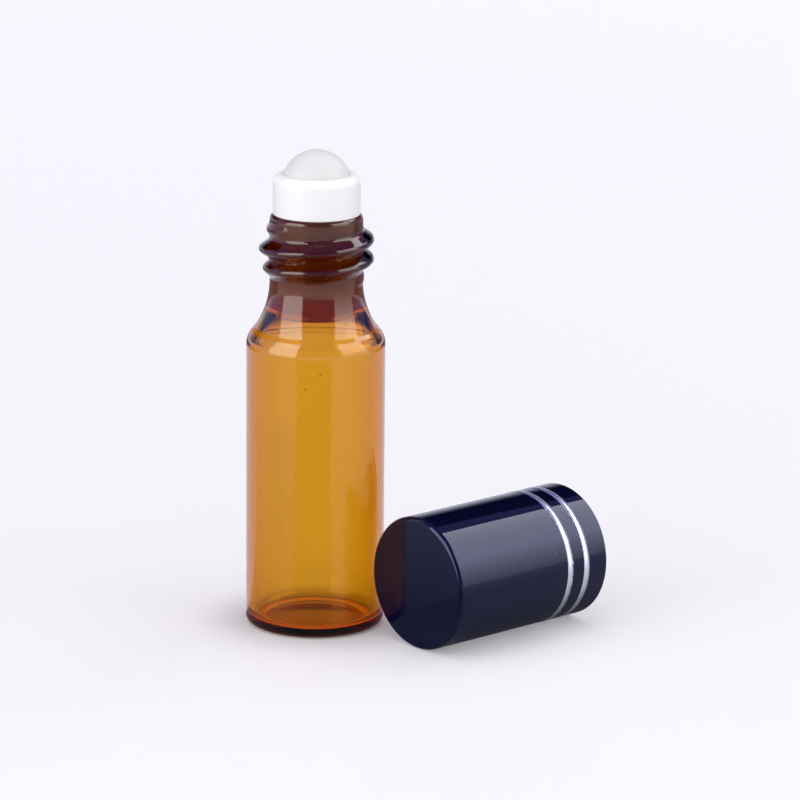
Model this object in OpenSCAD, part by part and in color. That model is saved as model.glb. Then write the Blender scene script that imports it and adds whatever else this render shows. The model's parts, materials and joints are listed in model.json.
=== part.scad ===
// Roll-on bottle, shown open: an amber glass vial with a screw-thread neck, a roller housing
// that plugs into the neck and traps a glass ball, and a threaded cap with two silver lines,
// which lies on its side against the vial. The vial stands on its base at the origin, and the
// cap's axis lies along +X, from its closed end to its open end.

/* [Glass vial] */
// Outer diameter of the barrel
barrel_d = 18; // [15:0.5:24]
// Height of the corner where the barrel turns into the shoulder
barrel_h = 38; // [26:0.5:60]
// Rise of the sloping shoulder up to the neck's corner
shoulder_h = 4; // [2.5:0.25:6]
// Length of the neck, from the shoulder's upper corner to the lip
neck_h = 12.5; // [11.5:0.25:15]
// Outer diameter of the neck under the thread
neck_d = 12; // [11.5:0.25:13.5]
// Thickness of the glass wall
glass_wall = 1.1; // [0.9:0.05:1.3]
// Thickness of the glass floor
glass_floor = 1; // [0.8:0.1:2.5]
// Radius of the rounded shoulder
shoulder_round = 3; // [1.5:0.25:5]
// Radius of the flare that runs from the shoulder up into the neck
flare_round = 12; // [6:0.5:16]
// Radius inside the shoulder, where the neck's bore opens into it
flare_inner_round = 2; // [0.5:0.5:8]
// Radius inside the shoulder, where it meets the barrel's wall
shoulder_inner_round = 0.5; // [0.2:0.1:2]
// Radius of the heel at the foot of the barrel
heel_round = 0.9; // [0.5:0.1:1.5]
// Radius of the inside corner of the floor
floor_round = 1; // [0.5:0.1:2]
// Radius of the lip's outer edge
lip_round = 0.7; // [0.4:0.05:0.8]
// Radius of the lip's inner edge
lip_inner_round = 0.2; // [0.1:0.05:0.3]
// Width of the ring that the vial stands on, from the heel inwards
foot_ring_w = 1.6; // [1:0.1:3]
// Rise of the base from the outer edge of that ring to the heel
foot_rise = 0.25; // [0.1:0.05:0.5]
// Height of the hollow under the base
base_hollow = 0.35; // [0.2:0.05:0.6]

/* [Neck thread] */
// Height of the thread's ridge above the neck
thread_h = 1.4; // [0.8:0.05:1.6]
// Width of the ridge where it leaves the neck
thread_w = 2; // [1.6:0.05:2.2]
// Rise of the thread in one turn
thread_pitch = 2.52; // [2.3:0.02:2.8]
// Number of turns, with the faded ends
thread_turns = 3; // [2.5:0.25:3]
// Turns over which the ridge grows at its lower end
thread_fade_in = 1.1; // [0.5:0.1:1.2]
// Turns over which the ridge fades at its upper end
thread_fade_out = 0.7; // [0.4:0.1:1]
// Distance from the lip down to the middle of the ridge's upper end
thread_top_drop = 1.48; // [1.2:0.02:2.4]
// Angle around the neck at which the lower end starts
thread_start_angle = -128; // [-178:5:177]

/* [Roller] */
// Diameter of the glass ball
ball_d = 9; // [8:0.1:9.6]
// Gap between the ball and its socket
ball_play = 0.06; // [0.03:0.01:0.1]
// How much smaller the mouth's radius is than the socket's, which holds the ball in
mouth_grip = 0.22; // [0.12:0.02:0.3]
// Thickness of the collar around the ball
collar_wall = 1.07; // [0.8:0.01:1.3]
// Height of the collar above the lip
collar_h = 5.1; // [4:0.1:6]
// Radius of the collar's upper edge
collar_round = 1.05; // [0.4:0.05:1.2]
// Length of the plug below the lip
plug_len = 12.9; // [8:0.1:14]
// Gap between the plug's wall and the neck's bore
plug_gap = 0.15; // [0.1:0.01:0.25]
// Thickness of the plug's wall
plug_wall = 0.95; // [0.7:0.05:1.2]
// Length of the taper at the plug's lower end
plug_taper_h = 1.3; // [0.6:0.1:2]
// How far the taper draws the plug's end in
plug_taper_in = 0.4; // [0.2:0.05:0.6]
// Radius of the hole that feeds the ball
feed_r = 2.2; // [2.1:0.05:2.5]
// Thickness of the cup's floor around the feed hole
cup_floor = 0.9; // [0.6:0.05:1.2]
// Width of each channel that lets the oil past the ball
channel_w = 0.8; // [0.5:0.05:1]
// Depth of each channel into the socket
channel_depth = 0.35; // [0.2:0.05:0.5]
// Number of channels
channel_count = 4; // [3:1:6]
// Number of sealing beads around the plug
bead_count = 3; // [2:1:4]
// Radius of each bead's section
bead_round = 0.3; // [0.2:0.05:0.4]
// Squeeze of each bead against the glass
bead_squeeze = 0.03; // [0.01:0.01:0.06]
// Distance between neighbouring beads
bead_pitch = 3; // [2:0.1:3.5]
// Distance from the lip down to the first bead
bead_top_drop = 3; // [2:0.1:4]

/* [Cap] */
// Thickness of the shell's side wall
shell_wall = 0.7; // [0.6:0.05:1]
// Thickness of the shell's closed end
shell_roof = 1; // [0.8:0.05:1.5]
// Radius of the shell's closed edge
shell_round = 0.6; // [0.3:0.1:2.5]
// Radius of the shell's rim
shell_rim_round = 0.2; // [0.1:0.05:0.3]
// Thickness of the liner's wall behind the thread
liner_wall = 0.5; // [0.4:0.05:0.8]
// Gap between the neck's thread and the liner's bore when the cap is on
thread_gap = 0.1; // [0.05:0.01:0.3]
// Height of the liner's thread
liner_thread_h = 0.8; // [0.5:0.05:0.9]
// Width of the liner's thread where it leaves the bore
liner_thread_w = 1.2; // [0.8:0.05:1.3]
// Number of turns of the liner's thread
liner_thread_turns = 2; // [1.5:0.25:2.25]
// Distance from the cap's mouth to the first turn of the liner's thread
liner_thread_in = 6.3; // [4:0.1:7]
// How far the mouth reaches below the neck's corner when the cap is on
cap_overlap = 1.7; // [1:0.1:2.5]
// How far the liner stands back from the shell's rim
liner_recess = 0.4; // [0.2:0.05:1]
// Gap around the collar inside the liner
collar_gap = 0.25; // [0.15:0.01:0.4]
// Gap over the ball inside the liner
ball_gap = 0.3; // [0.15:0.05:0.6]
// Gap over the lip inside the liner
lip_gap = 0.4; // [0.2:0.05:0.8]
// Thickness of the liner's crown and step
crown_wall = 0.9; // [0.7:0.05:1.2]
// Height of the ribs that carry the crown against the roof
crown_rib_h = 0.8; // [0.6:0.1:3]
// Thickness of each rib
rib_w = 0.8; // [0.5:0.05:1]
// Number of ribs
rib_count = 8; // [6:1:10]
// Radius of the open middle between the ribs
rib_hub_r = 2.5; // [1:0.1:4]

/* [Silver lines] */
// Width of each line
line_w = 0.92; // [0.5:0.02:1.4]
// Depth to which the foil is pressed in
line_depth = 0.04; // [0.02:0.01:0.08]
// Distance from the cap's mouth to the middle of the nearer line
line_back = 3.6; // [2:0.05:6]
// Distance between the two lines
line_pitch = 2.85; // [1.6:0.05:5]

/* [Layout] */
// Gap between the lying cap and the barrel
cap_lie_gap = 0.25; // [0.1:0.01:20]
// Place of the cap's closed end along X
cap_lie_x = 1.9; // [-25:0.05:30]

/* [Hidden] */
$fn = 96;

// Largest turn between neighbouring points of a rounded corner, in degrees
arc_step = 7.5;
// Turn between neighbouring sections of a thread, in degrees
thread_step = 10;
// Sides of the round part of a thread's section
thread_sides = 6;
// Overrun of each cut past the face it opens
over = 0.5;
// Depth by which a thread's ridge is rooted in the wall behind it
thread_root = 0.3;
// Depth below the surface from which a fading ridge rises
fade_under = 0.2;
// Share of its height that a ridge keeps at its buried ends
end_share = 0.08;

barrel_r = barrel_d / 2;
neck_r = neck_d / 2;
neck_corner_z = barrel_h + shoulder_h;
lip_z = neck_corner_z + neck_h;
neck_bore_r = neck_r - glass_wall;
barrel_bore_r = barrel_r - glass_wall;
shoulder_tilt = atan2(barrel_r - neck_r, shoulder_h);
// Drop of an inner corner below the outer one, which keeps the shoulder's wall even
corner_drop = glass_wall * tan(shoulder_tilt / 2);

foot_r = barrel_r - heel_round;
hollow_r = foot_r - foot_ring_w;
hollow_ball_r = (hollow_r * hollow_r + base_hollow * base_hollow) / (2 * base_hollow);

ball_r = ball_d / 2;
socket_r = ball_r + ball_play;
mouth_r = socket_r - mouth_grip;
rim_z = lip_z + collar_h;
mouth_rise = sqrt(socket_r * socket_r - mouth_r * mouth_r);
ball_z = rim_z - mouth_rise;
ball_proud = ball_z + ball_r - rim_z;
collar_r = socket_r + collar_wall;

plug_r = neck_bore_r - plug_gap;
plug_bore_r = plug_r - plug_wall;
plug_end_z = lip_z - plug_len;
seat_z = ball_z - sqrt(socket_r * socket_r - feed_r * feed_r);
cup_under_z = seat_z - cup_floor;

thread_crest_r = neck_r + thread_h;
thread_start_z = lip_z - thread_top_drop - thread_turns * thread_pitch;

liner_bore_r = thread_crest_r + thread_gap;
shell_bore_r = liner_bore_r + liner_wall;
cap_r = shell_bore_r + shell_wall;
// Depth from the cap's mouth to the ring that lands on the collar
cap_reach = cap_overlap + neck_h + collar_h;
crown_depth = ball_proud + ball_gap + crown_wall;
cap_len = cap_reach + crown_depth + crown_rib_h + shell_roof;
seal_x = cap_len - cap_reach;
step_x = seal_x + collar_h - lip_gap;
crown_x = shell_roof + crown_rib_h;
collar_bore_r = collar_r + collar_gap;
crown_r = collar_bore_r + crown_wall;
cap_ball_x = seal_x + mouth_rise;
cap_ball_r = ball_r + ball_gap;

cap_y = -(barrel_r + cap_r + cap_lie_gap);
cap_z = cap_r;

// A direction of length one
function unit(v) = v / norm(v);

// The three corners around number i of a closed outline, without their radii
function trio(c, i) = [for (k = [-1, 0, 1])
    let (p = c[(i + k + len(c)) % len(c)]) [p[0], p[1]]];

// The angle through which an outline turns at a corner
function turn(t) = acos(max(-1, min(1, unit(t[1] - t[0]) * unit(t[2] - t[1]))));

// The length that a corner's rounding takes from each of its two edges
function bite(c, i) = c[i][2] * tan(turn(trio(c, i)) / 2);

// The share of its rounding that a corner keeps, so that two roundings never meet on an edge
function keep(c, i) =
    let (n = len(c), t = trio(c, i), own = bite(c, i))
    own == 0 ? 0 : min(1,
        norm(t[1] - t[0]) / (own + bite(c, (i + n - 1) % n)),
        norm(t[2] - t[1]) / (own + bite(c, (i + 1) % n)));

// Points of one rounded corner
function corner(c, i) =
    let (t = trio(c, i), r = c[i][2] * keep(c, i), a = turn(t),
         back = unit(t[0] - t[1]), on = unit(t[2] - t[1]))
    r == 0 ? [t[1]] :
    let (start = t[1] + back * r * tan(a / 2),
         centre = t[1] + unit(back + on) * r / cos(a / 2),
         spoke = start - centre,
         way = sign(cross(-back, on)),
         n = ceil(a / arc_step))
    [for (k = [0:n]) let (b = way * a * k / n)
        centre + [spoke[0] * cos(b) - spoke[1] * sin(b), spoke[0] * sin(b) + spoke[1] * cos(b)]];

// Points of a closed outline whose corners are [radius, height, rounding]
function rounded(c) = [for (i = [0:len(c) - 1]) each corner(c, i)];

// A solid of revolution about Z from such an outline
module turned(c) {
    rotate_extrude() polygon(rounded(c));
}

// A ring about Z with a round section
module bead(r, z, section_r) {
    rotate_extrude() translate([r, z]) circle(r = section_r, $fn = 24);
}

// The part of its height that a thread's ridge has at a given turn
function ridge_share(t, turns, fade_in, fade_out) =
    max(end_share, min(1, t / fade_in, (turns - t) / fade_out));

// One section across a thread's ridge: height goes outwards, or inwards where it is negative
function ridge_section(r, z, angle, height, half_w, share) =
    let (under = sign(height) * fade_under, back = sign(height) * thread_root,
         top = (height + under) * share - under,
         arc = [for (k = [0:thread_sides]) let (b = -90 + 180 * k / thread_sides)
             [r - under + (top + under) * cos(b), half_w * sin(b)]],
         foot = [[r - back, half_w], [r - back, -half_w]])
    [for (p = concat(arc, foot)) [p[0] * cos(angle), p[0] * sin(angle), z + p[1]]];

// A right-hand helical ridge that fades at both ends
module thread_ridge(r, z, height, w, pitch, turns, fade_in, fade_out, start_angle) {
    n = round(turns * 360 / thread_step);
    m = thread_sides + 3;
    points = [for (i = [0:n]) let (t = turns * i / n)
        each ridge_section(r, z + pitch * t, start_angle + 360 * t, height, w / 2,
            ridge_share(t, turns, fade_in, fade_out))];
    side = [for (i = [0:n - 1], k = [0:m - 1])
        let (a = i * m + k, b = i * m + (k + 1) % m)
        each [[a, b, b + m], [a, b + m, a + m]]];
    first = [for (k = [1:m - 2]) [0, k + 1, k]];
    last = [for (k = [1:m - 2]) [n * m, n * m + k, n * m + k + 1]];
    all_faces = concat(side, first, last);
    faces = height < 0 ? [for (f = all_faces) [f[2], f[1], f[0]]] : all_faces;
    polyhedron(points = points, faces = faces, convexity = 10);
}

// Places a piece of the cap, drawn along +Z from the closed end, where the cap lies
module on_cap() {
    translate([cap_lie_x, cap_y, cap_z]) rotate([0, 90, 0]) children();
}

// Tubular glass vial with its shoulder, threaded neck and rounded lip
module glass_vial() {
    color([0.72, 0.42, 0.08, 0.55]) {
        difference() {
            turned([
                [0, 0, 0],
                [foot_r, 0, 0],
                [barrel_r, foot_rise, heel_round],
                [barrel_r, barrel_h, shoulder_round],
                [neck_r, neck_corner_z, flare_round],
                [neck_r, lip_z, lip_round],
                [neck_bore_r, lip_z, lip_inner_round],
                [neck_bore_r, neck_corner_z - corner_drop, flare_inner_round],
                [barrel_bore_r, barrel_h - corner_drop, shoulder_inner_round],
                [barrel_bore_r, glass_floor, floor_round],
                [0, glass_floor, 0]
            ]);
            translate([0, 0, base_hollow - hollow_ball_r]) sphere(r = hollow_ball_r);
        }
        thread_ridge(neck_r, thread_start_z, thread_h, thread_w, thread_pitch, thread_turns,
            thread_fade_in, thread_fade_out, thread_start_angle);
    }
}

// White plug and collar that snap over the ball, with a feed hole and channels under it
module roller_housing() {
    color("white") difference() {
        union() {
            turned([
                [0, plug_end_z, 0],
                [plug_r - plug_taper_in, plug_end_z, 0],
                [plug_r, plug_end_z + plug_taper_h, 0],
                [plug_r, lip_z, 0],
                [collar_r, lip_z, 0],
                [collar_r, rim_z, collar_round],
                [0, rim_z, 0]
            ]);
            for (i = [0:bead_count - 1])
                bead(neck_bore_r + bead_squeeze - bead_round,
                    lip_z - bead_top_drop - i * bead_pitch, bead_round);
        }
        translate([0, 0, ball_z]) sphere(r = socket_r);
        translate([0, 0, plug_end_z - over])
            cylinder(r = plug_bore_r, h = cup_under_z - plug_end_z + over);
        translate([0, 0, cup_under_z - over])
            cylinder(r = feed_r, h = seat_z - cup_under_z + 2 * over);
        for (i = [0:channel_count - 1]) rotate([0, 0, i * 360 / channel_count])
            translate([0, -channel_w / 2, seat_z - channel_depth])
                cube([feed_r + channel_w, channel_w, channel_depth + over]);
    }
}

// Glass ball, free to turn in its socket
module roller_ball() {
    color([0.93, 0.94, 0.94]) translate([0, 0, ball_z]) sphere(r = ball_r);
}

// The space inside the cap's shell
module shell_hollow() {
    turned([
        [0, shell_roof, 0],
        [shell_bore_r, shell_roof, max(0, shell_round - shell_wall)],
        [shell_bore_r, cap_len + over, 0],
        [0, cap_len + over, 0]
    ]);
}

// A band around the cap's outside, counted from the mouth
module line_band(number) {
    mid = cap_len - line_back - number * line_pitch;
    difference() {
        translate([0, 0, mid - line_w / 2]) cylinder(r = cap_r, h = line_w);
        translate([0, 0, mid - line_w / 2 - over]) cylinder(r = cap_r - line_depth, h = line_w + 2 * over);
    }
}

// Glossy black outer shell of the cap, with seats for the two lines
module cap_shell() {
    color([0.07, 0.07, 0.1]) on_cap() difference() {
        turned([
            [0, 0, 0],
            [cap_r, 0, shell_round],
            [cap_r, cap_len, shell_rim_round],
            [0, cap_len, 0]
        ]);
        shell_hollow();
        for (number = [0, 1]) line_band(number);
    }
}

// Threaded liner that carries the cap, with the ring that lands on the collar and the ribs
// that brace its crown inside the shell
module cap_liner() {
    mouth_x = cap_len - liner_recess;
    color([0.13, 0.13, 0.15]) on_cap() {
        difference() {
            union() {
                turned([
                    [0, crown_x, 0],
                    [crown_r, crown_x, crown_wall],
                    [crown_r, step_x - crown_wall, 0],
                    [shell_bore_r, step_x - crown_wall, 0],
                    [shell_bore_r, mouth_x, 0],
                    [0, mouth_x, 0]
                ]);
                intersection() {
                    shell_hollow();
                    difference() {
                        union() for (i = [0:rib_count - 1]) rotate([0, 0, i * 360 / rib_count])
                            translate([rib_hub_r, -rib_w / 2, shell_roof])
                                cube([shell_bore_r - rib_hub_r + over, rib_w, step_x - shell_roof]);
                        translate([0, 0, crown_x + crown_wall])
                            cylinder(r = crown_r - crown_wall, h = step_x);
                    }
                }
            }
            translate([0, 0, step_x]) cylinder(r = liner_bore_r, h = cap_len);
            translate([0, 0, seal_x]) cylinder(r = collar_bore_r, h = cap_len);
            translate([0, 0, cap_ball_x]) sphere(r = cap_ball_r);
        }
        thread_ridge(liner_bore_r,
            cap_len - liner_thread_in - liner_thread_turns * thread_pitch,
            -liner_thread_h, liner_thread_w, thread_pitch, liner_thread_turns,
            thread_fade_out / 2, thread_fade_out / 2, thread_start_angle);
    }
}

// Silver foil line further from the mouth
module silver_line_inner() {
    color([0.85, 0.86, 0.88]) on_cap() line_band(1);
}

// Silver foil line nearer the mouth
module silver_line_rim() {
    color([0.85, 0.86, 0.88]) on_cap() line_band(0);
}

glass_vial();
roller_housing();
roller_ball();
cap_shell();
cap_liner();
silver_line_inner();
silver_line_rim();
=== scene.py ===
"""A roll-on bottle, shown open: an amber glass vial with a roller in its neck, and its black
screw cap lying beside it. The bottle's own sizes are in millimetres and the studio's in metres.
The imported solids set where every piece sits."""

import json
import logging
import math
from collections.abc import Callable
from dataclasses import dataclass, field
from enum import Enum
from functools import partial

import bpy
import numpy as np
from mathutils import Matrix, Vector

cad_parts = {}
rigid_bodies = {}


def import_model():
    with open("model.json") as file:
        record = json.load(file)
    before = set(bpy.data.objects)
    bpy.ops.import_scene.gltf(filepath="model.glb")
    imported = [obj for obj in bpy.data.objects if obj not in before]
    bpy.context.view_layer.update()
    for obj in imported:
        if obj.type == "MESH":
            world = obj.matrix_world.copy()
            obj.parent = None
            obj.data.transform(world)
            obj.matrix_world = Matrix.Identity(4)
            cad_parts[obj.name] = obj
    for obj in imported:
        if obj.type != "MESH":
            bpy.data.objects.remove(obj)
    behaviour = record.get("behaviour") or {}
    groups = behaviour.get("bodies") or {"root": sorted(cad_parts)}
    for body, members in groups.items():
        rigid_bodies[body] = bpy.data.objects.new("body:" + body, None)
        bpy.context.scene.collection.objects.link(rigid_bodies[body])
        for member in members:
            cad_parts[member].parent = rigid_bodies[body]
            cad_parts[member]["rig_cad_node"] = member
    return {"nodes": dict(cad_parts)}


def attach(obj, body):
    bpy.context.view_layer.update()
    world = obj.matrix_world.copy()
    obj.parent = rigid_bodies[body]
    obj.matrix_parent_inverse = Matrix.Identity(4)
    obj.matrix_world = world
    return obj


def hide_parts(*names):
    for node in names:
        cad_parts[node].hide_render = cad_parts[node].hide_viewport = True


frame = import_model()

LOG = logging.getLogger("roll_on_bottle")

# Metres in one millimetre
MM = 0.001
# Most that a chord of a rounded corner may stray from its arc, in millimetres and as a share
# of the arc's radius
SAGITTA = 0.0012
SAGITTA_SHARE = 0.004
# Degrees that one chord of a plain arc spans, and one face of a card in the studio
ARC_STEP = 3.0
CARD_STEP = 6.0
# Millimetres below which a length counts as nothing
TINY = 1e-6
# Columns of faces round a turned piece
COLUMNS = 256

Array = np.ndarray
Colour = tuple[float, float, float, float]
Lift = Callable[[Array, Array, Array], Array]
Adder = Callable[..., bpy.types.Node]
Material = bpy.types.Material
Extras = tuple[dict[str, object], dict[str, object]]


class Body(Enum):
    """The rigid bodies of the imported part."""

    VIAL = "vial"
    BALL = "ball"
    CAP = "cap"


class Slot(Enum):
    """The record's material slots."""

    AMBER_GLASS = "amber_glass"
    HOUSING = "housing_plastic"
    BALL = "ball_glass"
    SHELL = "shell_plastic"
    LINER = "liner_plastic"
    FOIL = "silver_foil"


def linear(hex_colour: str) -> Colour:
    """Turns an sRGB colour into the linear one that shaders take.

    Args:
        hex_colour: Six hex digits, red first.

    Returns:
        Red, green, blue and an alpha of one.
    """
    shares = [int(hex_colour[i : i + 2], 16) / 255 for i in (0, 2, 4)]
    r, g, b = (s / 12.92 if s <= 0.04045 else ((s + 0.055) / 1.055) ** 2.4 for s in shares)
    return r, g, b, 1.0


def add_node(
    tree: bpy.types.NodeTree, kind: str, inputs: dict[str | int, object] | None = None
) -> bpy.types.Node:
    """Adds a node with its settings and links.

    Args:
        tree: The node tree that takes the node.
        kind: The kind of node, as Blender names it after "ShaderNode".
        inputs: What each input socket takes, by its name or number: a value, the output socket
            that feeds it, or the node whose first output does. Another name is an attribute's.

    Returns:
        The new node.
    """
    node = tree.nodes.new("ShaderNode" + kind)
    for name, value in (inputs or {}).items():
        if isinstance(value, bpy.types.Node):
            value = value.outputs[0]
        if isinstance(value, bpy.types.NodeSocket):
            tree.links.new(value, node.inputs[name])
        elif isinstance(name, int) or name in node.inputs:
            node.inputs[name].default_value = value
        else:
            setattr(node, name, value)
    return node


# Outlines and turned meshes


@dataclass(frozen=True)
class Corner:
    """A corner of an outline: its radius and height, and the radius of its rounding."""

    r: float
    z: float
    rounding: float = 0.0


@dataclass
class Outline:
    """The half section of a turned piece, with the true normal at both ends of each chord."""

    ends: Array
    normals: Array

    @staticmethod
    def through(*corners: Corner) -> "Outline":
        """Runs an open outline through corners, with a true arc at each rounded one.

        Args:
            corners: The corners in order, with the solid on the left of the way along.

        Returns:
            The outline, cut into chords that stay close to the arcs.
        """
        at = np.array([[c.r, c.z] for c in corners])
        chords: list[tuple[Array, Array, Array, Array]] = []
        last = at[0]
        for i in range(1, len(corners)):
            back = at[i - 1] - at[i]
            back = back / np.linalg.norm(back)
            if i + 1 == len(corners) or corners[i].rounding == 0:
                chords.append(Outline._chord(last, at[i]))
                last = at[i]
                continue
            ahead = at[i + 1] - at[i]
            ahead = ahead / np.linalg.norm(ahead)
            turn = math.acos(max(-1.0, min(1.0, float(-back @ ahead))))
            r = corners[i].rounding
            bite = r * math.tan(turn / 2)
            start, stop = at[i] + back * bite, at[i] + ahead * bite
            halfway = (back + ahead) / np.linalg.norm(back + ahead)
            centre = at[i] + halfway * r / math.cos(turn / 2)
            if np.linalg.norm(start - last) > TINY:
                chords.append(Outline._chord(last, start))
            way = -1.0 if back[0] * ahead[1] - back[1] * ahead[0] > 0 else 1.0
            step = 2 * math.acos(1 - min(SAGITTA / r, SAGITTA_SHARE))
            n = max(2, math.ceil(turn / step))
            angles = math.atan2(*(start - centre)[::-1]) + way * np.linspace(0, turn, n + 1)
            spokes = np.stack([np.cos(angles), np.sin(angles)], 1)
            points, out = centre + r * spokes, way * spokes
            chords.extend(zip(points[:-1], points[1:], out[:-1], out[1:]))
            last = stop
        table = np.array(chords)
        return Outline(table[:, :2], table[:, 2:])

    @staticmethod
    def _chord(a: Array, b: Array) -> tuple[Array, Array, Array, Array]:
        """Makes a straight chord.

        Args:
            a: Where it starts.
            b: Where it ends.

        Returns:
            Both ends and both normals, which point to the right of the way along it.
        """
        along = (b - a) / np.linalg.norm(b - a)
        normal = np.array([along[1], -along[0]])
        return a, b, normal, normal

    @staticmethod
    def arc(
        centre: tuple[float, float], r: float, start: float, stop: float, way: float = 1.0
    ) -> "Outline":
        """Runs an outline along a circle's arc.

        Args:
            centre: The circle's centre.
            r: Its radius.
            start: Where on it the arc starts, in degrees.
            stop: Where it stops, in degrees.
            way: One where the normals point away from the centre, minus one where towards it.

        Returns:
            The outline.
        """
        n = max(3, math.ceil(abs(stop - start) / ARC_STEP))
        a = np.radians(np.linspace(start, stop, n + 1))
        spokes = np.stack([np.cos(a), np.sin(a)], 1)
        # An end at a pole lies on the axis itself
        for end, angle in ((0, start), (-1, stop)):
            if abs(angle) == 90:
                spokes[end, 0] = 0
        points = np.array(centre) + r * spokes
        ends, out = (np.stack([x[:-1], x[1:]], 1) for x in (points, way * spokes))
        return Outline(ends, out)

    def joined(self, other: "Outline") -> "Outline":
        """This outline with another one that starts where it ends."""
        return Outline(
            np.concatenate([self.ends, other.ends]), np.concatenate([self.normals, other.normals])
        )

    def split(self, low: float, high: float, longest: float) -> "Outline":
        """Splits the chords between two heights.

        Args:
            low: The lower height.
            high: The upper height.
            longest: The most that a chord there may measure.

        Returns:
            The outline with shorter chords there.
        """
        ends, normals = [], []
        for (a, b), (na, nb) in zip(self.ends, self.normals):
            inside = max(a[1], b[1]) > low and min(a[1], b[1]) < high
            n = math.ceil(float(np.linalg.norm(b - a)) / longest) if inside else 1
            for k in range(n):
                s, t = k / n, (k + 1) / n
                ends.append([a + (b - a) * s, a + (b - a) * t])
                normals.append([na + (nb - na) * s, na + (nb - na) * t])
        return Outline(np.array(ends), np.array(normals))


@dataclass
class Shape:
    """Points in millimetres, faces, and a normal for each corner of each face, or none."""

    verts: Array
    faces: list[list[int]]
    normals: Array = field(default_factory=lambda: np.empty((0, 3)))

    def moved(self, place: Matrix) -> "Shape":
        """This shape, turned and moved to its place."""
        m = np.array(place)
        return Shape(self.verts @ m[:3, :3].T + m[:3, 3], self.faces, self.normals @ m[:3, :3].T)

    def joined(self, other: "Shape") -> "Shape":
        """This shape and another one as one."""
        start = len(self.verts)
        return Shape(
            np.concatenate([self.verts, other.verts]),
            self.faces + [[start + v for v in face] for face in other.faces],
            np.concatenate([self.normals, other.normals]),
        )


def turned(outline: Outline, lift: Lift | None = None, columns: int = COLUMNS) -> Shape:
    """Turns an outline about Z into a closed shape with exact normals.

    Args:
        outline: The half section.
        lift: Adds to the radius, from arrays of angle, radius and height.
        columns: Faces round the axis.

    Returns:
        The turned shape.
    """
    rings = np.concatenate([outline.ends[:, 0], outline.ends[-1:, 1]])
    looped = bool(np.allclose(rings[0], rings[-1]))
    turn = np.arange(columns) * 2 * math.pi / columns
    theta, radius = np.meshgrid(turn, rings[:, 0])
    height = np.meshgrid(turn, rings[:, 1])[1]
    slope_turn = slope_z = np.zeros_like(theta)
    if lift is not None:
        # Half the step over which a slope is taken, in radians and in millimetres
        eps = 1e-3
        slope_turn, slope_z = (
            (lift(theta + a, radius, height + b) - lift(theta - a, radius, height - b)) / (2 * eps)
            for a, b in ((eps, 0.0), (0.0, eps))
        )
        radius = radius + lift(theta, radius, height)
    verts, index = [], np.zeros((len(rings), columns), int)
    for i, (r, z) in enumerate(rings):
        if looped and i + 1 == len(rings):
            index[i] = index[0]
        elif r < TINY:
            index[i] = len(verts)
            verts.append((0.0, 0.0, float(z)))
        else:
            index[i] = len(verts) + np.arange(columns)
            verts.extend(zip(radius[i] * np.cos(turn), radius[i] * np.sin(turn), height[i]))
    faces, loops = [], []
    for i in range(len(rings) - 1):
        for j in range(columns):
            k = (j + 1) % columns
            around = [(i, j, 0), (i, k, 0), (i + 1, k, 1), (i + 1, j, 1)]
            if index[i, j] == index[i, k]:
                around.pop(1)
            elif index[i + 1, j] == index[i + 1, k]:
                around.pop(2)
            faces.append([int(index[a, b]) for a, b, _ in around])
            loops.extend((i, c, a, b) for a, b, c in around)
    seg, end, ring, col = np.array(loops).T
    base = outline.normals[seg, end]
    out = base[:, 0]
    swing = -slope_turn[ring, col] * out / np.maximum(radius[ring, col], TINY)
    up = base[:, 1] - slope_z[ring, col] * out
    c, s = np.cos(turn[col]), np.sin(turn[col])
    normals = np.stack([out * c - swing * s, out * s + swing * c, up], 1)
    normals /= np.linalg.norm(normals, axis=1)[:, None]
    return Shape(np.array(verts), faces, normals)


def mesh_piece(name: str, shape: Shape) -> bpy.types.Object:
    """Makes an object from a shape.

    Args:
        name: The piece's name.
        shape: Its shape, where it lies.

    Returns:
        The new object, linked to the scene.
    """
    mesh = bpy.data.meshes.new(name)
    mesh.from_pydata((shape.verts * MM).tolist(), [], shape.faces)
    mesh.shade_smooth()
    if len(shape.normals):
        mesh.normals_split_custom_set(shape.normals.tolist())
    mesh.update()
    piece = bpy.data.objects.new(name, mesh)
    bpy.context.scene.collection.objects.link(piece)
    return piece


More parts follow.
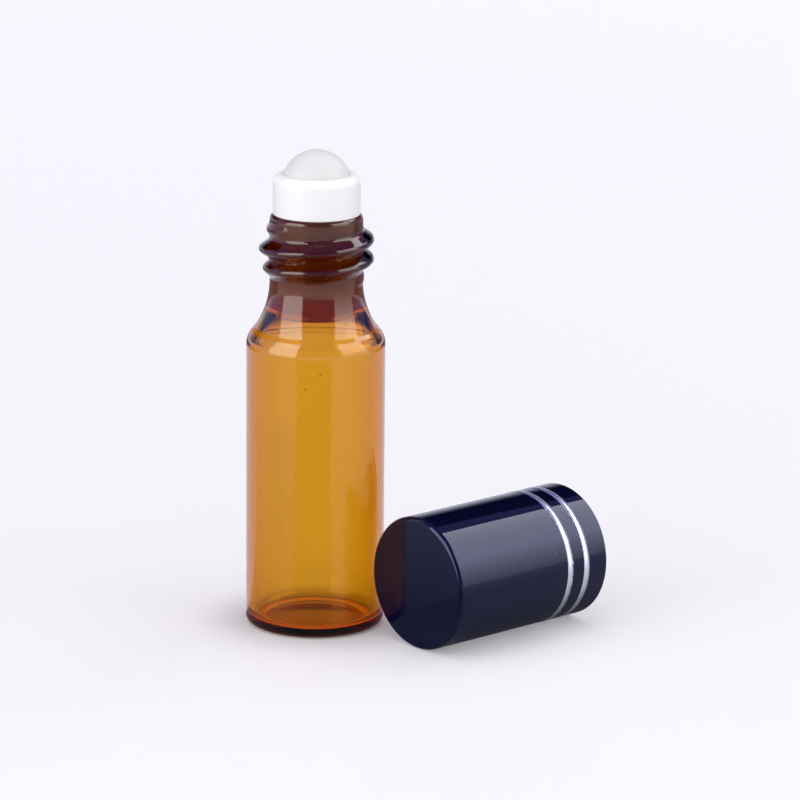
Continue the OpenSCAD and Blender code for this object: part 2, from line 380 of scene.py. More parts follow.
@dataclass(frozen=True)
class ThreadRidge:
    """A right-hand helical ridge with a round crest, straight flanks and filleted roots."""

    start_z: float
    height: float
    pitch: float
    # Laps in all, and those over which it rises out of the wall and sinks back
    turns: float
    fade_in: float
    fade_out: float
    # Degrees from +X at which it starts, and the radius beyond which a wall carries it
    start_angle: float
    wall_r: float
    crest_round: float = 0.6
    root_round: float = 0.7
    flank_angle: float = 55.0
    # How deep its faded ends lie under the wall, and the share of its width that they keep
    sunk: float = 0.2
    faded_width: float = 0.6

    def section(self, d: Array) -> Array:
        """Gives the ridge's section.

        Args:
            d: Distances from its middle.

        Returns:
            The share of its height that it has there.
        """
        a = math.radians(self.flank_angle)
        s, c = math.sin(a), math.cos(a)
        drop = self.height - (self.crest_round + self.root_round) * (1 - c)
        x1 = self.crest_round * s
        x2 = x1 + drop / math.tan(a)
        x3 = x2 + self.root_round * s
        d = np.abs(d)
        crest = self.height - self.crest_round + np.sqrt(
            np.maximum(self.crest_round**2 - np.minimum(d, x1) ** 2, 0)
        )
        flank = self.height - self.crest_round * (1 - c) - (np.clip(d, x1, x2) - x1) * math.tan(a)
        root = self.root_round - np.sqrt(
            np.maximum(self.root_round**2 - np.clip(x3 - d, 0, x3 - x2) ** 2, 0)
        )
        high = np.where(d < x1, crest, np.where(d < x2, flank, np.where(d < x3, root, 0)))
        return high / self.height

    def lift(self, theta: Array, radius: Array, z: Array) -> Array:
        """What the ridge adds to the radius of the wall that carries it.

        Args:
            theta: Angles round the axis, in radians.
            radius: Radii of the bare wall.
            z: Heights.

        Returns:
            The added height of the ridge at each point.
        """
        first = ((theta - math.radians(self.start_angle)) / (2 * math.pi)) % 1.0
        high = np.zeros_like(theta)
        for lap in range(math.ceil(self.turns) + 1):
            t = first + lap
            share = np.clip(np.minimum(t / self.fade_in, (self.turns - t) / self.fade_out), 0, 1)
            crest = np.maximum((self.height + self.sunk) * share - self.sunk, 0) / self.height
            width = self.faded_width + (1 - self.faded_width) * share
            here = crest * self.section((z - self.start_z - self.pitch * t) / width)
            high = np.maximum(high, np.where(t <= self.turns, here, 0))
        return self.height * high * (radius > self.wall_r)


# Finishes


def new_material(name: str) -> tuple[Material, Adder]:
    """Makes an empty node material.

    Args:
        name: The material's name.

    Returns:
        The material, and add_node for its node tree.
    """
    material = bpy.data.materials.new(name)
    material.use_nodes = True
    material.node_tree.nodes.clear()
    return material, partial(add_node, material.node_tree)


@dataclass(frozen=True)
class Relief:
    """The fine unevenness that a mould or a stamp leaves, which softens reflections."""

    # Width and depth of its grains, in millimetres
    width: float
    depth: float
    # How strongly it bends reflections, its layers of grain, and each one's share of the last
    strength: float
    detail: float
    share: float = 0.5

    def bump(self, add: Adder) -> bpy.types.Node:
        """Adds the relief to a material.

        Args:
            add: Adds a node to the material.

        Returns:
            The node that gives the uneven normal.
        """
        place = add("TexCoord").outputs["Object"]
        grain = {"Scale": 1 / (self.width * MM), "Detail": self.detail, "Roughness": self.share}
        grains = add("TexNoise", {**grain, "Vector": place})
        return add("Bump", {"Strength": self.strength, "Distance": self.depth * MM, "Height": grains})


@dataclass(frozen=True)
class Finish:
    """What a piece is made of and how it was made, which its name says."""

    name: str
    colour: str
    roughness: float
    # Index of refraction, and how far the surface is a metal or lets light through
    ior: float = 1.5
    metal: float = 0.0
    clear: float = 0.0
    relief: Relief | None = None

    def more(self, add: Adder) -> Extras:
        """What else the shader takes, and the material's output: nothing, in a plain finish."""
        return {}, {}

    def material(self) -> Material:
        """Builds the finish's nodes.

        Returns:
            The material.
        """
        material, add = new_material(self.name)
        skin = {
            "Base Color": linear(self.colour), "Roughness": self.roughness, "IOR": self.ior,
            "Metallic": self.metal, "Transmission Weight": self.clear,
        }
        if self.relief:
            skin["Normal"] = self.relief.bump(add)
        shader, output = self.more(add)
        surface = add("BsdfPrincipled", {**skin, **shader})
        add("OutputMaterial", {"Surface": surface, **output})
        return material


@dataclass(frozen=True)
class AmberTubeGlass(Finish):
    """Amber borosilicate glass, drawn as tube and fire-polished: clear depth, razor-sharp
    reflections, and a colour that deepens from honey to dark brown with the length of glass."""

    name: str = "amber_borosilicate_tube_fire_polished"
    colour: str = "FFFFFF"
    roughness: float = 0.0
    ior: float = 1.47
    clear: float = 1.0
    # Absorption of red and green as shares of blue's, and blue's for each millimetre
    red_share: float = 0.08
    green_share: float = 0.25
    blue_per_mm: float = 2.05

    def more(self, add: Adder) -> Extras:
        """Fills the glass with its colour.

        Args:
            add: Adds a node to the material.

        Returns:
            Nothing for the shader, and the absorbing volume for the output.
        """
        absorbed = (1 - self.red_share, 1 - self.green_share, 0.0, 1.0)
        depth = {"Color": absorbed, "Density": self.blue_per_mm / MM}
        return {}, {"Volume": add("VolumeAbsorption", depth)}


@dataclass(frozen=True)
class MouldedPolyethylene(Finish):
    """White polyethylene, injection moulded: milky, with light that seeps in at the edges and
    a broad soft sheen. Below the lip the plug has painted shade, so that it looks dark behind
    the glass, and its open end has painted light, as if it took in the light of the vial."""

    name: str = "white_polyethylene_moulded"
    colour: str = "FAFAFA"
    roughness: float = 0.38
    relief: Relief = Relief(0.25, 0.02, 0.05, 2.0)
    # The plug's painted shade behind the glass, and the painted light at its open end
    painted_plug_shade: str = "5E3444"
    lit_end: str = "A86464"
    # Heights in millimetres between which the painted light from the vial fades in the plug, and
    # those at the lip between which the plastic turns from painted shade to its own white
    lit_z: tuple[float, float] = (41.5, 47.0)
    painted_shade_top_z: tuple[float, float] = (54.4, 54.5)
    # Share of the light that seeps in, and how far it gets, in millimetres
    seep_share: float = 0.2
    seep: float = 0.5

    def more(self, add: Adder) -> Extras:
        """Adds the plastic's milkiness, and the plug's painted shade and painted light by height.

        Args:
            add: Adds a node to the material.

        Returns:
            What the shader takes for them, and nothing for the output.
        """
        place = add("TexCoord")
        height = add("SeparateXYZ", {"Vector": place.outputs["Object"]})
        inside, above = (
            add("MapRange", {"From Min": low * MM, "From Max": high * MM, "Value": height.outputs["Z"]})
            for low, high in (self.lit_z, self.painted_shade_top_z)
        )
        # Painted light at the plug's open end fading into its painted shade, then plain white above the
        # lip
        plug = add(
            "MixRGB", {"Color1": linear(self.lit_end), "Color2": linear(self.painted_plug_shade), "Fac": inside}
        )
        tone = add("MixRGB", {"Color2": linear(self.colour), "Fac": above, "Color1": plug})
        milky = {
            "Base Color": tone, "Subsurface Weight": self.seep_share,
            "Subsurface Radius": (1.0, 1.0, 1.0), "Subsurface Scale": self.seep * MM,
        }
        return milky, {}


@dataclass(frozen=True)
class GroundBallGlass(Finish):
    """Colourless glass, ground round and polished: it takes in the white of its socket, and
    looks like a pale grey pearl."""

    name: str = "ball_glass_ground_polished"
    colour: str = "EBEBEA"
    roughness: float = 0.5
    clear: float = 0.1


@dataclass(frozen=True)
class GlossBlackPlastic(Finish):
    """Black ABS, moulded in a polished tool: a deep blue-black body under a mirror-like skin,
    which carries a few specks of dust."""

    name: str = "black_abs_moulded_gloss"
    colour: str = "080A26"
    roughness: float = 0.05
    ior: float = 1.52
    # A bluish tint on the skin's reflections
    gleam: str = "B8BCE6"
    dust: str = "A8A8B0"
    # Width in millimetres of the cells that hold a speck of dust each, which only shows where
    # it lies near the skin, and the radii of its core and its edge as shares of that width
    dust_cell: float = 4.0
    speck_shares: tuple[float, float] = (0.022, 0.034)

    def more(self, add: Adder) -> Extras:
        """Adds the skin's gleam and its dust.

        Args:
            add: Adds a node to the material.

        Returns:
            What the shader takes for them, and nothing for the output.
        """
        place = add("TexCoord")
        cells = add("TexVoronoi", {"Scale": 1 / (self.dust_cell * MM), "Vector": place.outputs["Object"]})
        core, edge = self.speck_shares
        speck = add(
            "MapRange", {"From Min": core, "From Max": edge, "To Min": 1.0, "To Max": 0.0, "Value": cells}
        )
        tone = add("MixRGB", {"Color1": linear(self.colour), "Color2": linear(self.dust), "Fac": speck})
        return {"Base Color": tone, "Specular Tint": linear(self.gleam)}, {}


@dataclass(frozen=True)
class SatinBlackPlastic(Finish):
    """Black polypropylene, moulded: a plain satin skin, greyer than the shell's, with the fine
    texture of its mould."""

    name: str = "black_polypropylene_moulded_satin"
    colour: str = "18181B"
    roughness: float = 0.34
    ior: float = 1.49
    relief: Relief = Relief(0.2, 0.02, 0.08, 3.0)


@dataclass(frozen=True)
class StampedFoil(Finish):
    """Aluminium foil, hot stamped into the plastic: bright and slightly crumpled, so it gathers
    light from a wide angle and still darkens where it faces the dark."""

    name: str = "aluminium_foil_hot_stamped"
    colour: str = "F2F2F6"
    roughness: float = 0.34
    metal: float = 1.0
    relief: Relief = Relief(0.35, 0.03, 0.35, 3.0, 0.6)


def dress(piece: bpy.types.Object, material: Material, body: Body) -> None:
    """Gives a piece its one material, and sets what it rides on.

    Args:
        piece: The piece.
        material: Its finish.
        body: The body that carries it.
    """
    piece.data.materials.clear()
    piece.data.materials.append(material)
    if "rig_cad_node" not in piece:
        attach(piece, body.value)
    LOG.info("%s: %d faces, on %s", piece.name, len(piece.data.polygons), body.value)


# Sub-assemblies


@dataclass
class GlassVial:
    """The amber vial: standing ring, barrel, shoulder, flared neck, thread and lip."""

    barrel_r: float = 9.0
    barrel_h: float = 38.0
    corner_z: float = 42.0
    lip_z: float = 54.5
    neck_r: float = 6.0
    wall: float = 1.1
    floor: float = 0.9
    shoulder_round: float = 3.0
    # Small step in the shoulder, where the tool let go of the glass: radius and height
    step_top: tuple[float, float] = (7.87, 39.5)
    step_foot: tuple[float, float] = (8.34, 39.1)
    step_round: float = 0.3
    # Height at which the flare's line would meet the neck's, and the flare's radius
    flare_z: float = 42.4
    flare_round: float = 11.5
    flare_inner_round: float = 1.8
    # How far below the heights of the barrel's corner and the neck's the inner corners lie
    inner_drop: float = 0.37
    shoulder_inner_round: float = 0.5
    heel_round: float = 0.9
    foot_rise: float = 0.25
    floor_round: float = 1.3
    lip_round: float = 0.7
    lip_inner_round: float = 0.2
    ring_w: float = 1.6
    base_hollow: float = 0.35
    thread: ThreadRidge = ThreadRidge(
        start_z=45.46, height=1.4, pitch=2.52, turns=3.0,
        fade_in=1.1, fade_out=0.7, start_angle=-128.0, wall_r=5.5,
    )
    # Longest chord of the wall that carries the ridge, and how far below the thread's start
    # and below the lip that wall's fine chords begin and end
    ridge_chord: float = 0.09
    below_start: float = 1.3
    below_lip: float = 0.6
    # Bubbles in the wall: angle round the vial in degrees, height and radius
    seeds: tuple[tuple[float, float, float], ...] = (
        (-126.0, 35.3, 0.11), (-147.0, 10.6, 0.08), (-75.0, 22.4, 0.09), (60.0, 29.0, 0.12),
    )
    seed_columns: int = 16
    finish: AmberTubeGlass = AmberTubeGlass()

    def outline(self) -> Outline:
        """Draws the glass's half section.

        Returns:
            The outline, from the middle of the base round to the middle of the floor.
        """
        ring_r = self.barrel_r - self.heel_round - self.ring_w
        bore_r, mouth_r = self.barrel_r - self.wall, self.neck_r - self.wall
        ball_r = (ring_r**2 + self.base_hollow**2) / (2 * self.base_hollow)
        spread = math.degrees(math.asin(ring_r / ball_r))
        hollow = Outline.arc((0.0, self.base_hollow - ball_r), ball_r, 90, 90 - spread, -1.0)
        hollow.ends[-1, 1] = (ring_r, 0.0)
        shell = Outline.through(
            Corner(ring_r, 0),
            Corner(self.barrel_r - self.heel_round, 0),
            Corner(self.barrel_r, self.foot_rise, self.heel_round),
            Corner(self.barrel_r, self.barrel_h, self.shoulder_round),
            Corner(*self.step_foot, self.step_round),
            Corner(*self.step_top, self.step_round),
            Corner(self.neck_r, self.flare_z, self.flare_round),
            Corner(self.neck_r, self.lip_z, self.lip_round),
            Corner(mouth_r, self.lip_z, self.lip_inner_round),
            Corner(mouth_r, self.corner_z - self.inner_drop, self.flare_inner_round),
            Corner(bore_r, self.barrel_h - self.inner_drop, self.shoulder_inner_round),
            Corner(bore_r, self.floor, self.floor_round),
            Corner(0, self.floor),
        )
        low, high = self.thread.start_z - self.below_start, self.lip_z - self.below_lip
        return hollow.joined(shell).split(low, high, self.ridge_chord)

    def bubbles(self) -> Shape:
        """Makes the seeds in the barrel's wall: small bubbles whose faces look into their air.

        Returns:
            All of them as one shape.
        """
        shape = Shape(np.empty((0, 3)), [])
        at = self.barrel_r - self.wall / 2
        for turn, z, r in self.seeds:
            skin = turned(Outline.arc((0.0, 0.0), r, 90, -90, -1.0), columns=self.seed_columns)
            a = math.radians(turn)
            place = Matrix.Translation((at * math.cos(a), at * math.sin(a), z))
            shape = shape.joined(skin.moved(place))
        return shape

    def build(self) -> None:
        """Builds the vial in place of its solid."""
        shape = turned(self.outline(), self.thread.lift).joined(self.bubbles())
        piece = mesh_piece("vial_glass", shape)
        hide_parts("glass_vial")
        dress(piece, self.finish.material(), Body.VIAL)


@dataclass
class Roller:
    """The white plug and collar, and the glass ball that it holds."""

    ball_r: float = 4.5
    ball_z: float = 58.2007
    socket_r: float = 4.56
    mouth_r: float = 4.34
    collar_r: float = 5.63
    rim_z: float = 59.6
    collar_round: float = 1.05
    lip_z: float = 54.5
    neck_bore_r: float = 4.9
    # Depth to which the pressed plug and the collar's foot touch into the glass
    squeeze: float = 0.02
    plug_end_z: float = 41.1
    plug_end_round: float = 0.3
    plug_bore_r: float = 3.8
    feed_r: float = 2.2
    cup_floor: float = 0.9
    ball_columns: int = 192
    housing_finish: MouldedPolyethylene = MouldedPolyethylene()
    ball_finish: GroundBallGlass = GroundBallGlass()

    def housing_outline(self) -> Outline:
        """Draws the housing's half section, with its plug pressed into the glass.

        Returns:
            The closed outline, from the plug's end outwards.
        """
        plug_r, foot_z = self.neck_bore_r + self.squeeze, self.lip_z - self.squeeze
        mouth_turn = math.degrees(math.acos(self.mouth_r / self.socket_r))
        feed_turn = -math.degrees(math.acos(self.feed_r / self.socket_r))
        seat_z = self.ball_z + self.socket_r * math.sin(math.radians(feed_turn))
        outside = Outline.through(
            Corner(self.plug_bore_r, self.plug_end_z),
            Corner(plug_r, self.plug_end_z, self.plug_end_round),
            Corner(plug_r, foot_z),
            Corner(self.collar_r, foot_z),
            Corner(self.collar_r, self.rim_z, self.collar_round),
            Corner(self.mouth_r, self.rim_z),
        )
        socket = Outline.arc((0.0, self.ball_z), self.socket_r, mouth_turn, feed_turn, -1.0)
        inside = Outline.through(
            Corner(self.feed_r, seat_z),
            Corner(self.feed_r, seat_z - self.cup_floor),
            Corner(self.plug_bore_r, seat_z - self.cup_floor),
            Corner(self.plug_bore_r, self.plug_end_z),
        )
        return outside.joined(socket).joined(inside)

    def build(self) -> None:
        """Builds the housing and the ball in place of their solids."""
        housing = mesh_piece("roller_housing_moulded", turned(self.housing_outline()))
        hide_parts("roller_housing")
        dress(housing, self.housing_finish.material(), Body.VIAL)
        sphere = Outline.arc((0.0, self.ball_z), self.ball_r, -90, 90)
        ball = mesh_piece("ball_glass", turned(sphere, columns=self.ball_columns))
        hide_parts("roller_ball")
        dress(ball, self.ball_finish.material(), Body.BALL)


@dataclass(frozen=True)
class FoilEdges:
    """How far the edges of a stamped line stray: they wander in waves, and bits of foil stand
    out of them or are missing."""

    columns: int = 720
    seed: int = 11
    # Waves round the line, the height of the longest, and the last angle at which one starts
    waves: tuple[int, ...] = (5, 9, 14, 23, 37)
    wave_h: float = 0.022
    phase: float = 6.28
    # Number of bits, least and greatest half width of one in radians, and the shares of them
    # that are at the edge nearer the closed end and that are missing
    bits: int = 26
    bit_turn: tuple[float, float] = (0.008, 0.045)
    low_share: float = 0.3
    missing_share: float = 0.45
    # Least share of its full height that a wave or a bit has
    least_share: float = 0.3

    def draw(self, turn: Array, number: int, ragged: float) -> Array:
        """Draws both edges of a line.

        Args:
            turn: Angles round the line, in radians.
            number: Its number, from the mouth.
            ragged: How far bits of foil stand out, in millimetres.

        Returns:
            How far the edge nearer the closed end and the other one stray outwards.
        """
        rng = np.random.default_rng(self.seed + number)
        stray = np.zeros((2, len(turn)))
        for edge in (0, 1):
            for waves in self.waves:
                high = self.wave_h * rng.uniform(self.least_share, 1)
                wave = np.sin(waves * turn + rng.uniform(0, self.phase))
                stray[edge] += high * wave / math.sqrt(waves / self.waves[0])
        for _ in range(self.bits):
            centre, wide = rng.uniform(0, 2 * math.pi), rng.uniform(*self.bit_turn)
            apart = (turn - centre + math.pi) % (2 * math.pi) - math.pi
            edge = 0 if rng.uniform() < self.low_share else 1
            way = -1 if rng.uniform() < self.missing_share else 1
            high = way * ragged * rng.uniform(self.least_share, 1)
            stray[edge] += high * np.exp(-((apart / wide) ** 4))
        return stray


@dataclass
class ScrewCap:
    """The cap: a gloss shell with foil lines, round a threaded liner."""

    outer_r: float = 8.7
    length: float = 25.4007
    roof: float = 1.0
    bore_r: float = 8.0
    edge_round: float = 0.6
    rim_round: float = 0.2
    line_w: float = 0.92
    line_back: float = 3.6
    line_pitch: float = 2.85
    # How far the foil stands over the plastic, its edges reach into it, and they slope
    foil_h: float = 0.012
    foil_depth: float = 0.03
    foil_bevel: float = 0.02
    # How far bits of foil stand out of each line's edges, from the mouth's line on
    ragged: tuple[float, float] = (0.05, 0.22)
    edges: FoilEdges = FoilEdges()
    # Middle of its closed end, where it lies
    lie: tuple[float, float, float] = (1.9, -17.95, 8.7)
    shell_finish: GlossBlackPlastic = GlossBlackPlastic()
    liner_finish: SatinBlackPlastic = SatinBlackPlastic()
    foil_finish: StampedFoil = StampedFoil()

    def place(self) -> Matrix:
        """Lays a piece drawn up the Z axis from the cap's closed end where the cap lies."""
        return Matrix.Translation(self.lie) @ Matrix.Rotation(math.pi / 2, 4, "Y")

    def shell_outline(self) -> Outline:
        """The shell's half section, from the middle of its closed end round to the inside."""
        return Outline.through(
            Corner(0, 0),
            Corner(self.outer_r, 0, self.edge_round),
            Corner(self.outer_r, self.length, self.rim_round),
            Corner(self.bore_r, self.length),
            Corner(self.bore_r, self.roof),
            Corner(0, self.roof),
        )

    def foil_line(self, name: str, node: str, number: int) -> bpy.types.Object:
        """Builds one foil line as a thin band whose edges wander.

        Args:
            name: The piece's name.
            node: The solid that it stands for.
            number: Its number, from the mouth.

        Returns:
            The band.
        """
        n = self.edges.columns
        turn = np.arange(n) * 2 * math.pi / n
        stray = self.edges.draw(turn, number, self.ragged[number])
        middle = self.length - self.line_back - number * self.line_pitch
        low, high = middle - self.line_w / 2 - stray[0], middle + self.line_w / 2 + stray[1]
        inner, outer = self.outer_r - self.foil_depth, self.outer_r + self.foil_h
        rings = [
            (inner, low), (outer, low + self.foil_bevel), (outer, (low + high) / 2),
            (outer, high - self.foil_bevel), (inner, high),
        ]
        verts = [np.stack([r * np.cos(turn), r * np.sin(turn), z], 1) for r, z in rings]
        faces = [
            [i * n + j, i * n + (j + 1) % n, k * n + (j + 1) % n, k * n + j]
            for i, k in ((0, 1), (1, 2), (2, 3), (3, 4), (4, 0))
            for j in range(n)
        ]
        piece = mesh_piece(name, Shape(np.concatenate(verts), faces).moved(self.place()))
        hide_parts(node)
        return piece

    def build(self) -> None:
        """Builds the shell and the foil lines in place of their solids, and dresses the liner."""
        shell = mesh_piece("cap_shell_gloss", turned(self.shell_outline()).moved(self.place()))
        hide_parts("cap_shell")
        dress(shell, self.shell_finish.material(), Body.CAP)
        foil = self.foil_finish.material()
        lines = (("foil_line_rim", "silver_line_rim"), ("foil_line_inner", "silver_line_inner"))
        for number, (name, node) in enumerate(lines):
            dress(self.foil_line(name, node, number), foil, Body.CAP)
        dress(frame["nodes"]["cap_liner"], self.liner_finish.material(), Body.CAP)


# Studio


@dataclass(frozen=True)
class Card:
    """A lit, curved card around the bottle, which the camera doesn't see. It is in metres, and
    its bearings in degrees, clockwise seen from above, from the way to the camera."""

    name: str
    start: float
    stop: float
    distance: float
    high: float
    # Radiance at its foot and at its top, as gloss and glass show it
    foot: float
    top: float
    # Share of that radiance that it lights everything else with
    spread: float
    tint: str = "FFFFFF"
    low: float = 0.0
    # Share of its height above which it has the top's radiance
    full: float = 1.0

    def glow(self) -> Material:
        """Makes the card's light.

        Returns:
            The material.
        """
        material, add = new_material(self.name)
        place = add("TexCoord")
        height = add("SeparateXYZ", {"Vector": place.outputs["Generated"]}).outputs["Z"]
        ramp = {"From Max": self.full, "To Min": self.foot, "To Max": self.top}
        level = add("MapRange", {**ramp, "Value": height})
        path = add("LightPath")
        gloss, glass = path.outputs["Is Glossy Ray"], path.outputs["Is Transmission Ray"]
        sharp = add("Math", {"operation": "MAXIMUM", 0: gloss, 1: glass})
        share = add("MapRange", {"To Min": self.spread, "Value": sharp})
        strength = add("Math", {"operation": "MULTIPLY", 0: level, 1: share})
        light = add("Emission", {"Color": linear(self.tint), "Strength": strength})
        add("OutputMaterial", {"Surface": light})
        return material

    def build(self, camera_bearing: float) -> None:
        """Builds the card, facing the bottle.

        Args:
            camera_bearing: The way from the camera to the bottle, in degrees from +Y.
        """
        n = max(2, math.ceil(abs(self.stop - self.start) / CARD_STEP))
        a = np.radians(camera_bearing + 180 + np.linspace(self.start, self.stop, n + 1))
        ring = np.stack([np.sin(a), np.cos(a)], 1) * self.distance / MM
        rows = [np.column_stack([ring, np.full(n + 1, z / MM)]) for z in (self.low, self.high)]
        faces = [[i, i + 1, n + 2 + i, n + 1 + i] for i in range(n)]
        card = mesh_piece(self.name, Shape(np.concatenate(rows), faces))
        card.data.materials.append(self.glow())
        card.visible_camera = False


def smooth(x: Array | float, start: float, stop: float) -> Array:
    """Rises smoothly from nought at start to one at stop."""
    t = np.clip((x - start) / (stop - start), 0, 1)
    return t * t * (3 - 2 * t)


@dataclass(frozen=True)
class FloorGrade:
    """The floor as gloss reflects it: dark in front, where the camera stands, with painted shade
    round the vial's foot and round the lying cap's foot, and paler to the sides. Neither the
    camera nor soft light meets it, and from below it is clear. Its units are a card's."""

    name: str = "floor_grade"
    tint: str = "F0F1FF"
    # Bearings between which it is dark, and beyond which it has its back's tone, and the degrees
    # over which each of them softens
    dark: tuple[float, float] = (-26.0, 30.0)
    sides: float = 112.0
    soft: float = 3.0
    sides_soft: float = 12.0
    # Radii: where it starts and ends, how far its grading reaches and its front is dark, and
    # over which that dark softens
    inner: float = 0.0087
    outer: float = 0.4
    graded: float = 0.12
    front: float = 0.15
    front_soft: float = 0.03
    # Radiances: of the painted shade at the vial's foot, in front, behind where the neck reflects
    # it, of the open floor, and at its far edge
    painted_foot_shade_level: float = 0.22
    front_level: float = 0.15
    back_level: float = 0.3
    open_level: float = 0.92
    far_level: float = 1.5
    # How many times the open floor's radiance it has behind, near the vial
    back_share: float = 1.15
    # Ends of the line on which the cap lies, the edges of the painted shade round it, and the
    # share of the radiance that is left in that shade
    cap_line: tuple[tuple[float, float], tuple[float, float]] = ((0.010, -0.018), (0.027, -0.018))
    cap_shade: tuple[float, float] = (0.002, 0.017)
    shade_share: float = 0.12
    # Its height over the floor, and its points round the vial and outwards
    height: float = 0.0001
    turns: int = 121
    rings: int = 44

    def level(self, bearing: Array, radius: Array, spot: Array) -> Array:
        """Gives the radiance at each spot.

        Args:
            bearing: Its bearing.
            radius: Its way from the vial's axis.
            spot: Its x and y.

        Returns:
            The radiances.
        """
        # Rises from the painted shade at the vial's foot to the open floor's level
        root = math.sqrt(self.inner)
        reach = np.clip((np.sqrt(radius) - root) / (math.sqrt(self.graded) - root), 0, 1)
        side = self.painted_foot_shade_level + (self.open_level - self.painted_foot_shade_level) * reach
        beyond = smooth(radius, self.front, self.front + self.front_soft)
        front = self.painted_foot_shade_level + (self.front_level - self.painted_foot_shade_level) * reach
        front += (self.open_level - front) * beyond
        rise, fall = (smooth(bearing, at - self.soft, at + self.soft) for at in self.dark)
        level = side + (front - side) * rise * (1 - fall)
        level += (self.far_level - self.open_level) * smooth(radius, self.graded, self.outer)
        back = self.open_level * self.back_share * (1 - beyond) + self.back_level * beyond
        behind = smooth(abs(bearing), self.sides - self.sides_soft, self.sides)
        level += (back - level) * behind
        # Painted shade round the lying cap's foot
        start, end = (np.array(x) for x in self.cap_line)
        along = np.clip((spot - start) @ (end - start) / ((end - start) @ (end - start)), 0, 1)
        gap = np.linalg.norm(spot - start - along[:, None] * (end - start), axis=1)
        return level * (self.shade_share + (1 - self.shade_share) * smooth(gap, *self.cap_shade))

    def glow(self) -> Material:
        """Makes the sheet's light, which its points' levels set, and its clear underside.

        Returns:
            The material.
        """
        material, add = new_material(self.name)
        level = add("Attribute", {"attribute_name": "level"})
        light = add("Emission", {"Color": linear(self.tint), "Strength": level.outputs["Fac"]})
        clear = add("BsdfTransparent")
        side = add("NewGeometry")
        facing = add("MixShader", {0: side.outputs["Backfacing"], 1: light, 2: clear})
        add("OutputMaterial", {"Surface": facing})
        return material

    def build(self, camera_bearing: float) -> None:
        """Lays the sheet round the bottle.

        Args:
            camera_bearing: The way from the camera to the bottle, in degrees from +Y.
        """
        n = self.turns
        grid = np.meshgrid(np.linspace(-180, 180, n), np.geomspace(self.inner, self.outer, self.rings))
        bearing, radius = (values.ravel() for values in grid)
        a = np.radians(camera_bearing + 180 + bearing)
        spot = np.stack([np.sin(a), np.cos(a)], 1) * radius[:, None]
        verts = np.column_stack([spot, np.full(len(a), self.height)]) / MM
        faces = [
            [i * n + j, i * n + j + 1, (i + 1) * n + j + 1, (i + 1) * n + j]
            for i in range(self.rings - 1)
            for j in range(n - 1)
        ]
        sheet = mesh_piece(self.name, Shape(verts, faces))
        levels = sheet.data.attributes.new("level", "FLOAT", "POINT")
        levels.data.foreach_set("value", self.level(bearing, radius, spot).astype(np.float32))
        sheet.data.materials.append(self.glow())
        sheet.visible_camera = sheet.visible_diffuse = sheet.visible_transmission = False
        sheet.visible_shadow = sheet.visible_volume_scatter = False


@dataclass(frozen=True)
class CoatedCard(Finish):
    """White coated card, the pale floor, with a soft gloss. The camera, gloss and glass see it
    give off a little light, so that it is as pale as a bright studio's. Its ways are from the
    vial's axis."""

    name: str = "coated_card_white"
    colour: str = "DFDDDF"
    roughness: float = 0.5
    ior: float = 1.4
    # Colour of the light that it gives off, ways between which that grows, and its radiance there
    glow: str = "F8F7FC"
    reach: tuple[float, float] = (0.08, 0.9)
    lift: tuple[float, float] = (0.27, 0.57)
    # Ways between which the painted shade round the vial's foot ends, and what share is left in it
    foot: tuple[float, float] = (0.008, 0.016)
    painted_foot_shade_share: float = 0.3
    # The edge of the base, and how many times more light it gives off under it, in the colour
    # that the glass lets in: a painted pool of amber light under the vial
    base_edge: tuple[float, float] = (0.0079, 0.0083)
    painted_light_under_base: float = 1.0
    painted_amber_light: str = "E89A5C"

    def more(self, add: Adder) -> Extras:
        """Adds the light that the card gives off, with painted shade round the vial's foot and painted
        amber light under its base.

        Args:
            add: Adds a node to the material.

        Returns:
            What the shader takes for it, and nothing for the output.
        """
        place = add("NewGeometry")
        away = add("VectorMath", {"operation": "LENGTH", 0: place})
        ends = ("From Min", "From Max", "To Min", "To Max")
        rise, foot, under = (
            add("MapRange", {"Value": away.outputs["Value"], **dict(zip(ends, ramp))})
            for ramp in (
                (*self.reach, *self.lift), (*self.foot, self.painted_foot_shade_share, 1.0), (*self.base_edge, 1.0, 0.0),
            )
        )
        # Painted shade round the vial's foot, and painted light under its base
        times = add("Math", {"operation": "MULTIPLY_ADD", 1: self.painted_light_under_base, 0: under, 2: foot})
        risen = add("Math", {"operation": "MULTIPLY", 0: rise, 1: times})
        path = add("LightPath")
        lift = add("MapRange", {"To Max": 0.0, "Value": path.outputs["Is Diffuse Ray"], "To Min": risen})
        # Painted amber light under the base
        hue = add("MixRGB", {"Color1": linear(self.glow), "Color2": linear(self.painted_amber_light), "Fac": under})
        return {"Emission Color": hue, "Emission Strength": lift}, {}


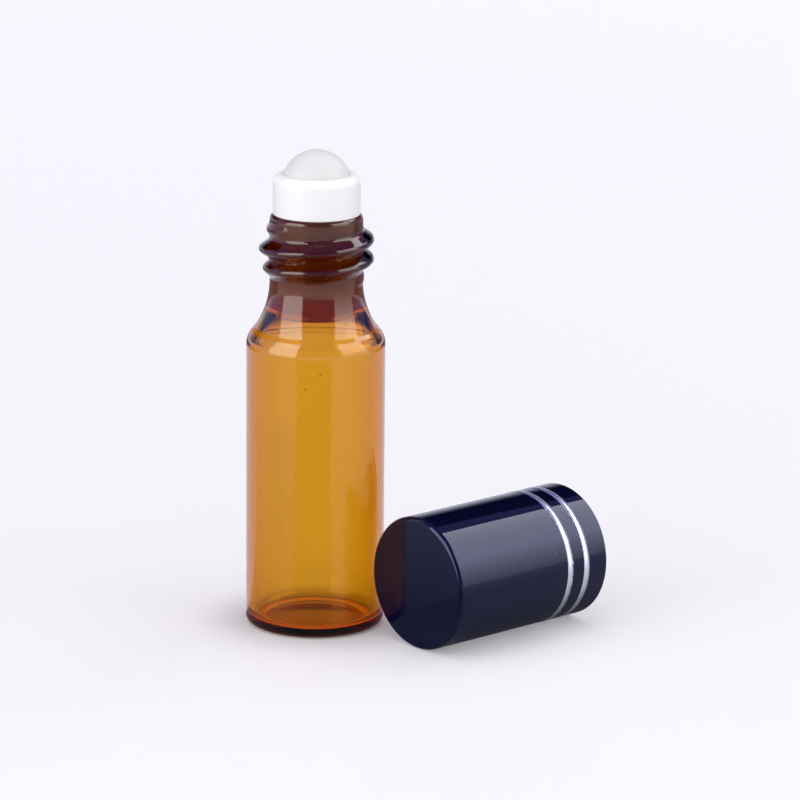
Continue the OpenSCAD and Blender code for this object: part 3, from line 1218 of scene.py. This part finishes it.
@dataclass
class Studio:
    """A pale floor and background, lit cards and walls all round, and the camera."""

    # Where the camera stands
    stand: tuple[float, float, float] = (-0.35535, -0.42488, 0.17597)
    # Degrees from +Y, clockwise, to the way that the camera looks, and those by which it looks
    # down and leans
    bearing: float = 41.038
    pitch: float = 14.787
    roll: float = 0.57
    # Focal length and width of the sensor, in millimetres
    lens: float = 199.04
    sensor: float = 36.0
    # Nearest and furthest that the camera sees
    clip: tuple[float, float] = (0.01, 20.0)
    background: str = "F8F7FC"
    room: str = "7272BC"
    # Share of the pale background that lights the scene from all round
    ambient: float = 0.98
    floor_half: float = 3.0
    floor: CoatedCard = CoatedCard()
    overhead_radiance: float = 0.95
    overhead_w: float = 0.5
    overhead_at: tuple[float, float, float] = (-0.05, -0.06, 0.9)
    # Name, bearings of both ends, distance, height, radiances at foot and top, share that lights
    cards: tuple[Card, ...] = (
        Card("soft_box_left", 31.0, 82.0, 0.62, 0.80, 4.6, 6.0, 0.34),
        Card("soft_box_right", -95.0, -45.0, 0.62, 0.84, 1.6, 4.7, 0.34, full=0.42),
        Card("soft_box_right_high", -141.0, -95.0, 0.62, 0.84, 4.8, 4.2, 0.34, low=0.42),
        Card("wall_left", 82.0, 125.0, 0.66, 0.50, 1.3, 1.3, 0.3, "BCBCFF"),
        Card("wall_right", -125.0, -95.0, 0.66, 0.44, 0.9, 1.3, 0.3, "BCBCFF"),
        Card("backdrop_paper_lit", 125.0, 209.5, 1.2, 1.15, 1.3, 0.0, 0.7, "E2E6FF", full=0.4),
    )
    grade: FloorGrade = FloorGrade()

    def camera(self) -> None:
        """Sets the camera at the photograph's angle."""
        b, p, r = (math.radians(x) for x in (self.bearing, self.pitch, self.roll))
        ahead = Vector((math.sin(b) * math.cos(p), math.cos(b) * math.cos(p), -math.sin(p)))
        level = Vector((math.cos(b), -math.sin(b), 0))
        up = level.cross(ahead)
        right = level * math.cos(r) + up * math.sin(r)
        up = right.cross(ahead)
        turn = Matrix((right, up, -ahead)).transposed().to_4x4()
        data = bpy.data.cameras.new("camera")
        data.lens, data.sensor_width, data.sensor_fit = self.lens, self.sensor, "HORIZONTAL"
        data.clip_start, data.clip_end = self.clip
        camera = bpy.data.objects.new("camera", data)
        camera.matrix_world = Matrix.Translation(self.stand) @ turn
        bpy.context.scene.collection.objects.link(camera)
        bpy.context.scene.camera = camera

    def sweep(self) -> None:
        """Lays the floor."""
        far = self.floor_half / MM
        verts = np.array([(-far, -far, 0), (far, -far, 0), (far, far, 0), (-far, far, 0)])
        floor = mesh_piece("floor", Shape(verts, [[0, 1, 2, 3]]))
        floor.data.materials.append(self.floor.material())

    def overhead(self) -> None:
        """Hangs a soft lamp over the bottle, which gloss and glass don't see."""
        lamp = bpy.data.lights.new("soft_box_overhead", "AREA")
        lamp.shape = "SQUARE"
        lamp.size = self.overhead_w
        lamp.energy = self.overhead_radiance * math.pi * lamp.size**2
        holder = bpy.data.objects.new("soft_box_overhead", lamp)
        holder.visible_glossy = holder.visible_transmission = False
        holder.location = self.overhead_at
        bpy.context.scene.collection.objects.link(holder)

    def world(self) -> None:
        """Shows the pale background to the camera, lights the scene softly with it, and shows
        gloss and glass the dim blue of the room."""
        world = bpy.data.worlds.new("room")
        bpy.context.scene.world = world
        world.use_nodes = True
        world.node_tree.nodes.clear()
        add = partial(add_node, world.node_tree)
        path = add("LightPath")
        seen, soft = path.outputs["Is Camera Ray"], path.outputs["Is Diffuse Ray"]
        share = add("Math", {"operation": "MULTIPLY", 1: self.ambient, 0: soft})
        lit = add("Math", {"operation": "MAXIMUM", 0: seen, 1: share})
        either = add("Math", {"operation": "MAXIMUM", 0: seen, 1: soft})
        sharp = add("Math", {"operation": "SUBTRACT", 0: 1.0, 1: either})
        pale, dim = (
            add("Background", {"Color": linear(colour), "Strength": strength})
            for colour, strength in ((self.background, lit), (self.room, sharp))
        )
        both = add("AddShader", {0: pale, 1: dim})
        add("OutputWorld", {"Surface": both})

    def build(self) -> None:
        """Sets up the whole studio."""
        self.camera()
        self.sweep()
        self.overhead()
        self.world()
        for piece in (*self.cards, self.grade):
            piece.build(self.bearing)
        bpy.context.scene.view_settings.view_transform = "Standard"


def main() -> None:
    """Builds the studio and the bottle's sub-assemblies in order."""
    logging.basicConfig(level=logging.INFO, format="%(name)s: %(message)s")
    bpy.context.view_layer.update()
    Studio().build()
    GlassVial().build()
    Roller().build()
    ScrewCap().build()


if __name__ == "__main__":
    main()
